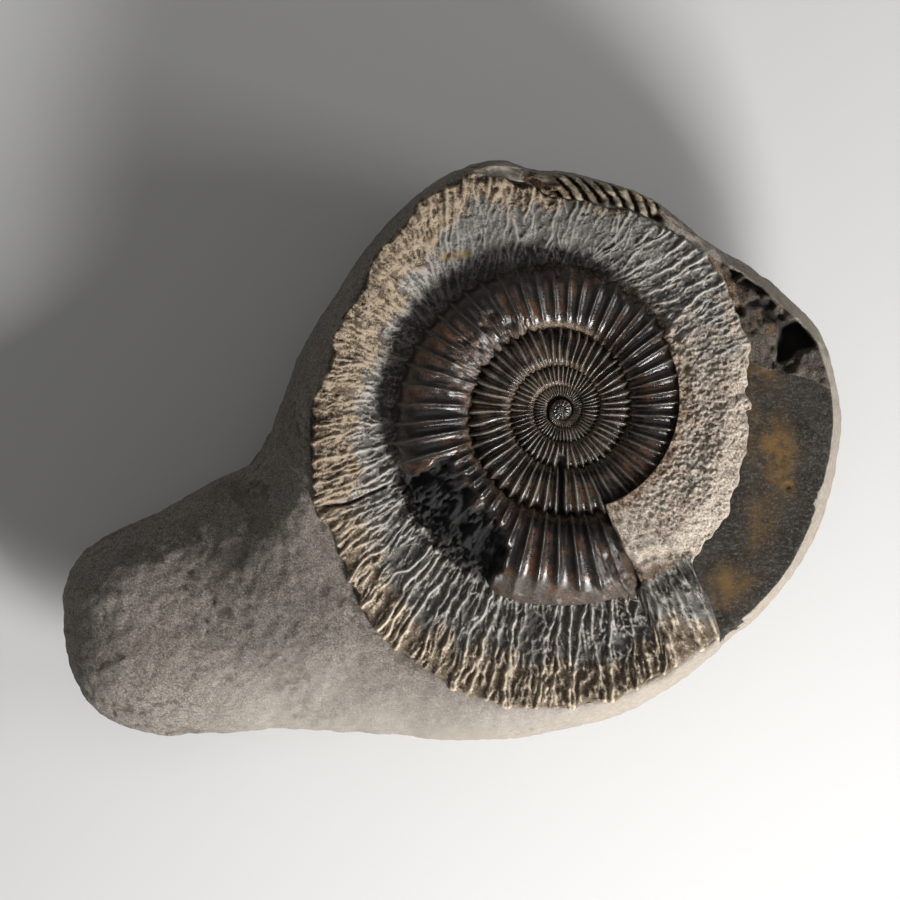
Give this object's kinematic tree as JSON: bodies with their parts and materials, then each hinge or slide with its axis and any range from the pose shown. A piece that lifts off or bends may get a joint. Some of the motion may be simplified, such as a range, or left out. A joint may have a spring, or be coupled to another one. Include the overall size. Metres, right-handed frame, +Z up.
{
  "type": "dactylioceras ammonite fossil",
  "caption": "Ribbed coiled ammonite standing in a bowl chiselled into its rounded limestone nodule with a side lobe, lying face up to be looked at.",
  "frame": {"origin": "centre of the bounding box, at the level of the surface that the stone lies on", "axes": "+X along the stone from the side lobe to the broken end, +Y towards the top edge as seen from the fossil's side, +Z up, the way the fossil faces"},
  "size_m": [0.1833, 0.136, 0.0629],
  "materials": {
    "limestone": "matt grey limestone, pale and finely pitted outside, chiselled grey with a brown rind in the bowl",
    "fossil_shell": "glossy near-black mineral with rusty brown grooves and seams"
  },
  "bodies": {
    "root": {"nodule": "limestone", "ammonite": "fossil_shell"}
  },
  "joints": []
}
